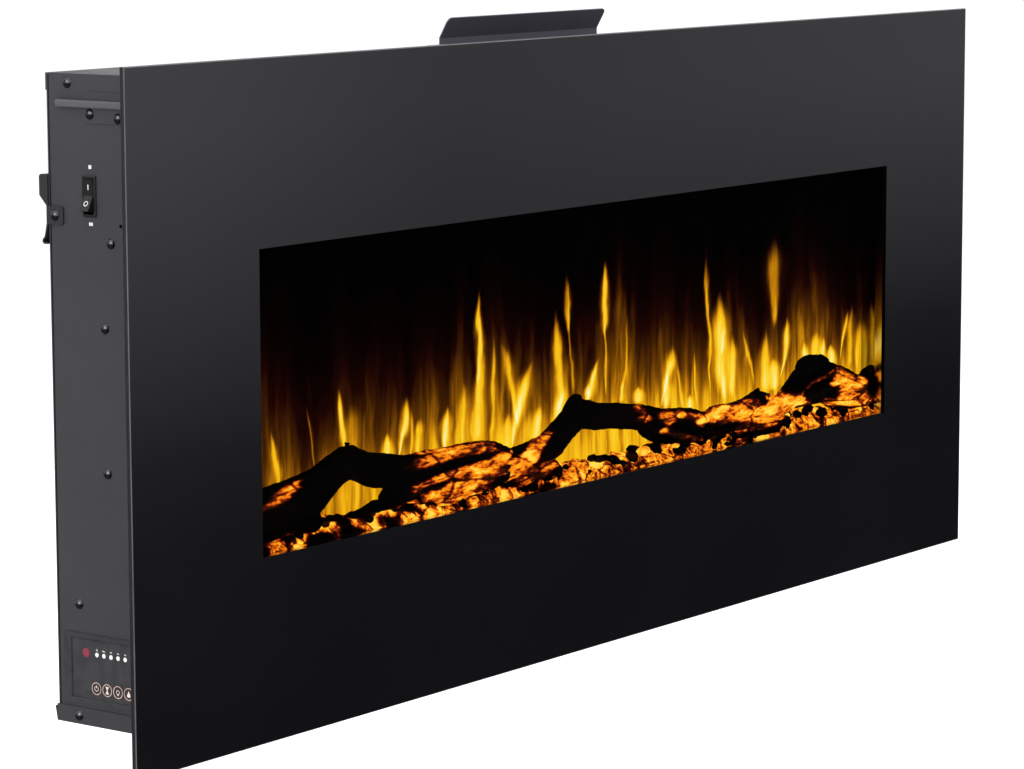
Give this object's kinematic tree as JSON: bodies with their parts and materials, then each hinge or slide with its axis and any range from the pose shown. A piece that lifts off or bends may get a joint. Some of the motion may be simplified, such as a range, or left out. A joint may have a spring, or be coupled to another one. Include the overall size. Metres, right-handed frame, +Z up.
{
  "type": "electric fireplace",
  "caption": "Wall-hung electric fireplace: black glass front with a flame window, resin logs, steel body, side controls and rocker switch, top warm-air outlet with deflector.",
  "frame": {"origin": "centre of the wall rail's screw pattern, on the wall plane", "axes": "+X to the viewer's right along the front, +Y into the wall, +Z up; the front faces -Y"},
  "size_m": [1.28, 0.1354, 0.5765],
  "materials": {
    "clear_glass": "polished tempered glass, lightly smoked",
    "black_enamel": "fired black enamel on the back of the glass",
    "black_steel": "satin black powder coat",
    "charcoal_steel": "fine-textured charcoal powder coat",
    "black_plastic": "fine-grained black moulding",
    "dark_plastic": "dark moulding",
    "gloss_black_plastic": "gloss black moulding with white marks",
    "white_lens": "white light-pipe",
    "red_lens": "dark red infra-red window",
    "circuit_board": "green solder mask",
    "firebox_black": "gloss black liner",
    "flame_screen": "smoked acrylic with a diffusing back",
    "silver_film": "bright reflective film",
    "ember_resin": "translucent amber resin with painted coals",
    "log_resin": "moulded resin painted as charred wood",
    "zinc_steel": "zinc-plated steel",
    "lamp_chip": "light chips with amber phosphor",
    "element_steel": "sheathed heating rods",
    "mica": "mica card",
    "lead_sleeve": "sleeved leads",
    "black_screw": "black oxide pan-head screws",
    "key_copper": "dark key with a copper ring and a pale mark",
    "bright_steel": "bright steel bar",
    "bright_foil": "mirror-bright fins",
    "blower_alloy": "plain aluminium"
  },
  "bodies": {
    "body": {"front_glass": "clear_glass", "glass_border_print": "black_enamel", "glass_backing_frame": "black_steel", "hanger_arm_left": "black_steel", "hanger_arm_right": "black_steel", "side_panel_left": "charcoal_steel", "side_panel_right": "charcoal_steel", "top_cover": "charcoal_steel", "top_cover_strips": "charcoal_steel", "bottom_tray": "charcoal_steel", "back_panel": "charcoal_steel", "rear_hook_left": "black_steel", "rear_hook_right": "black_steel", "wall_bracket": "black_steel", "heat_deflector": "charcoal_steel", "control_bezel": "black_plastic", "control_membrane": "dark_plastic", "indicator_lenses": "white_lens", "sensor_lens": "red_lens", "control_board": "circuit_board", "switch_housing": "gloss_black_plastic", "firebox_surround": "firebox_black", "flame_screen": "flame_screen", "flame_reflector": "silver_film", "ember_bed": "ember_resin", "log_left": "log_resin", "log_centre": "log_resin", "log_right": "log_resin", "rotor_bracket_left": "zinc_steel", "rotor_bracket_right": "zinc_steel", "rotor_bush": "dark_plastic", "rotor_motor": "zinc_steel", "flame_lamp_board": "circuit_board", "flame_lamp_chips": "lamp_chip", "ember_lamp_board": "circuit_board", "ember_lamp_chips": "lamp_chip", "heater_duct": "zinc_steel", "heating_element": "element_steel", "element_frame": "mica", "blower_bearing": "dark_plastic", "blower_motor": "zinc_steel", "thermal_cutout": "dark_plastic", "power_board": "circuit_board", "board_parts": "dark_plastic", "wiring_loom": "lead_sleeve", "cord_gland": "dark_plastic", "side_screws_left": "black_screw", "side_screws_right": "black_screw", "hook_screws": "black_screw", "back_screws": "black_screw", "deflector_screws": "black_screw"},
    "rocker": {"switch_rocker": "gloss_black_plastic"},
    "power_key": {"key_power": "key_copper"},
    "timer_key": {"key_timer": "key_copper"},
    "light_key": {"key_light": "key_copper"},
    "flame_key": {"key_flame": "key_copper"},
    "heat_key": {"key_heat": "key_copper"},
    "flame_rotor": {"rotor_shaft": "bright_steel", "rotor_fins": "bright_foil"},
    "blower_wheel": {"blower_rotor": "blower_alloy"}
  },
  "joints": [
    {"name": "switch_rock", "type": "hinge", "parent": "body", "child": "rocker", "pos_m": [-0.594, -0.0548, 0.0295], "axis": [0, -1, 0], "range_deg": [0, 25]},
    {"name": "power_key_press", "type": "slide", "parent": "body", "child": "power_key", "axis": [1, 0, 0], "range_m": [0, 0.0005], "stiffness_N_per_m": 1500},
    {"name": "timer_key_press", "type": "slide", "parent": "body", "child": "timer_key", "axis": [1, 0, 0], "range_m": [0, 0.0005], "stiffness_N_per_m": 1500},
    {"name": "light_key_press", "type": "slide", "parent": "body", "child": "light_key", "axis": [1, 0, 0], "range_m": [0, 0.0005], "stiffness_N_per_m": 1500},
    {"name": "flame_key_press", "type": "slide", "parent": "body", "child": "flame_key", "axis": [1, 0, 0], "range_m": [0, 0.0005], "stiffness_N_per_m": 1500},
    {"name": "heat_key_press", "type": "slide", "parent": "body", "child": "heat_key", "axis": [1, 0, 0], "range_m": [0, 0.0005], "stiffness_N_per_m": 1500},
    {"name": "flame_rotor_spin", "type": "hinge", "parent": "body", "child": "flame_rotor", "pos_m": [0, -0.052, -0.238], "axis": [1, 0, 0], "continuous": true},
    {"name": "blower_spin", "type": "hinge", "parent": "body", "child": "blower_wheel", "pos_m": [0, -0.066, 0.038], "axis": [1, 0, 0], "continuous": true}
  ]
}
